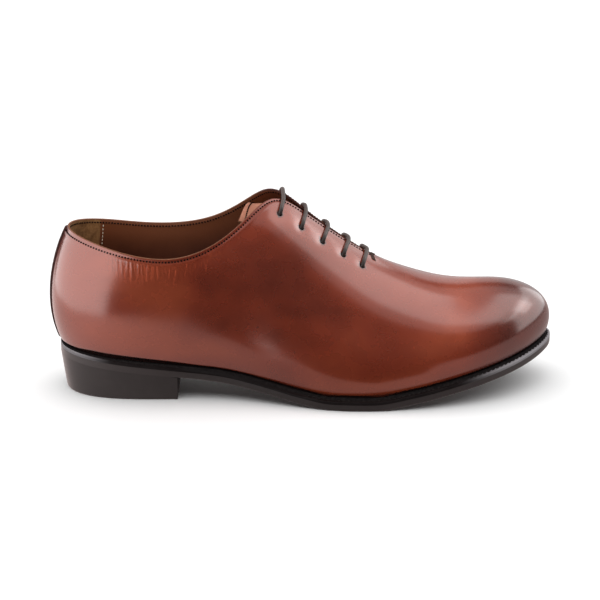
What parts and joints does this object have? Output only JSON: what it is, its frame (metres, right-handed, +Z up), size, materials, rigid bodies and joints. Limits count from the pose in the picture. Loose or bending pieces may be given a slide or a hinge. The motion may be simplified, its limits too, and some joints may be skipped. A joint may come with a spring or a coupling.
{
  "type": "oxford shoe",
  "caption": "Right whole-cut oxford dress shoe: hollow leather upper open at collar and throat, back strip, tongue, straight lace bars, footbed, welt, outsole and heel block.",
  "frame": {"origin": "on the floor, under the middle of the shoe's bounding box", "axes": "+X towards the toe, +Y towards the inner (medial) side of the foot, +Z up"},
  "size_m": [0.3032, 0.0992, 0.1221],
  "materials": {
    "upper_leather": "polished cognac calf leather with a darker burnished toe",
    "strip_leather": "dark brown calf strip over the back seam",
    "tongue_leather": "cognac calf leather with a light cut edge",
    "insole_leather": "smooth tan leather footbed",
    "welt_leather": "almost black dressed welt leather",
    "sole_leather": "dark brown waxed sole edge",
    "heel_stack": "dark brown waxed heel stack",
    "lace": "thin round waxed cotton lace, dark brown"
  },
  "bodies": {
    "root": {"upper": "upper_leather", "back_strip": "strip_leather", "tongue": "tongue_leather", "insole": "insole_leather", "welt": "welt_leather", "outsole": "sole_leather", "heel": "heel_stack", "lace_bar_1": "lace", "lace_bar_2": "lace", "lace_bar_3": "lace", "lace_bar_4": "lace", "lace_bar_5": "lace"}
  },
  "joints": []
}
